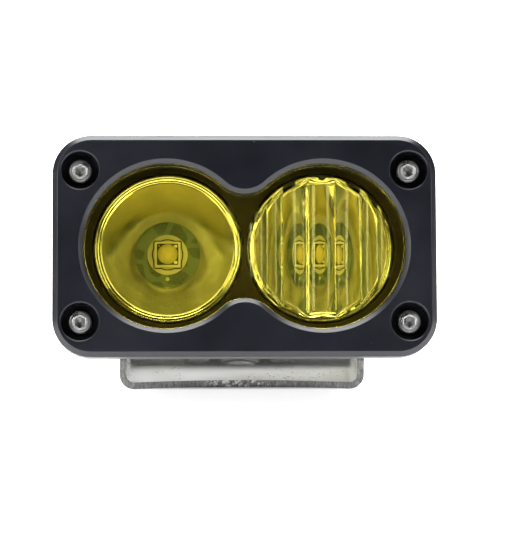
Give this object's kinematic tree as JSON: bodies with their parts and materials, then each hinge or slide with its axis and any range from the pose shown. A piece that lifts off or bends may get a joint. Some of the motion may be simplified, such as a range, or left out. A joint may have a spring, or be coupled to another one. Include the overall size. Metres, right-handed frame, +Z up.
{
  "type": "fog light",
  "caption": "Small twin-LED fog light with a rectangular black bezel and an amber lens, on a U bracket that lets the head tilt.",
  "frame": {"origin": "on the mounting plane under the middle of the whole lamp", "axes": "+Z up from the mounting plane, +X along the long side of the bezel, the lamp faces -Y"},
  "size_m": [0.0744, 0.0584, 0.0534],
  "materials": {
    "anodised_black": "satin black anodised aluminium",
    "cast_black": "matte black coated die casting",
    "bracket_stainless": "bright rolled stainless sheet with sheared edges",
    "fastener_steel": "bright stainless fastener",
    "spring_steel": "plain spring steel",
    "amber_lens": "clear amber polycarbonate, moulded flutes on one half",
    "mirror_coat": "vacuum-metallised reflector",
    "rubber_black": "matte black silicone rubber",
    "mask_black": "matte black moulding",
    "led_ceramic": "pale ceramic LED carrier",
    "led_silicone": "clear silicone dome over yellow phosphor",
    "board_green": "metal-core board, green solder mask with pale pads",
    "thermal_grey": "grey thermal silicone",
    "driver_green": "green solder mask",
    "component_dark": "black moulded component",
    "ferrite_grey": "grey ferrite",
    "can_dark": "dark sleeved capacitor can",
    "terminal_green": "green terminal housing",
    "tinned_brass": "tinned pin",
    "nylon_black": "black nylon"
  },
  "bodies": {
    "bracket": {"bracket": "bracket_stainless"},
    "head": {"bezel": "anodised_black", "bezel_screw_lower_left": "fastener_steel", "bezel_screw_lower_right": "fastener_steel", "bezel_screw_upper_left": "fastener_steel", "bezel_screw_upper_right": "fastener_steel", "board_screw_lower_left": "fastener_steel", "board_screw_lower_right": "fastener_steel", "board_screw_upper_left": "fastener_steel", "board_screw_upper_right": "fastener_steel", "capacitor_left": "can_dark", "capacitor_right": "can_dark", "driver_board": "driver_green", "driver_chip": "component_dark", "driver_screw_left": "fastener_steel", "driver_screw_right": "fastener_steel", "flat_washer_left": "fastener_steel", "flat_washer_right": "fastener_steel", "friction_washer_left": "nylon_black", "friction_washer_right": "nylon_black", "gland_body": "nylon_black", "gland_gasket": "rubber_black", "gland_locknut": "nylon_black", "gland_nut": "nylon_black", "gland_seal": "rubber_black", "housing": "cast_black", "inductor": "ferrite_grey", "jumper_pin_left": "tinned_brass", "jumper_pin_right": "tinned_brass", "led_board": "board_green", "left_led_dome": "led_silicone", "left_led_package": "led_ceramic", "left_reflector": "mirror_coat", "left_thermal_pad": "thermal_grey", "lens": "amber_lens", "lens_gasket": "rubber_black", "lock_washer_left": "spring_steel", "lock_washer_right": "spring_steel", "pivot_bolt_left": "fastener_steel", "pivot_bolt_right": "fastener_steel", "reflector_mask": "mask_black", "right_led_dome": "led_silicone", "right_led_package": "led_ceramic", "right_reflector": "mirror_coat", "right_thermal_pad": "thermal_grey", "terminal_block": "terminal_green", "vent_plug": "nylon_black"}
  },
  "joints": [
    {"name": "head_tilt", "type": "hinge", "parent": "bracket", "child": "head", "pos_m": [0, 0.00662, 0.0223], "axis": [-1, 0, 0], "range_deg": [-22.3, 30]}
  ]
}
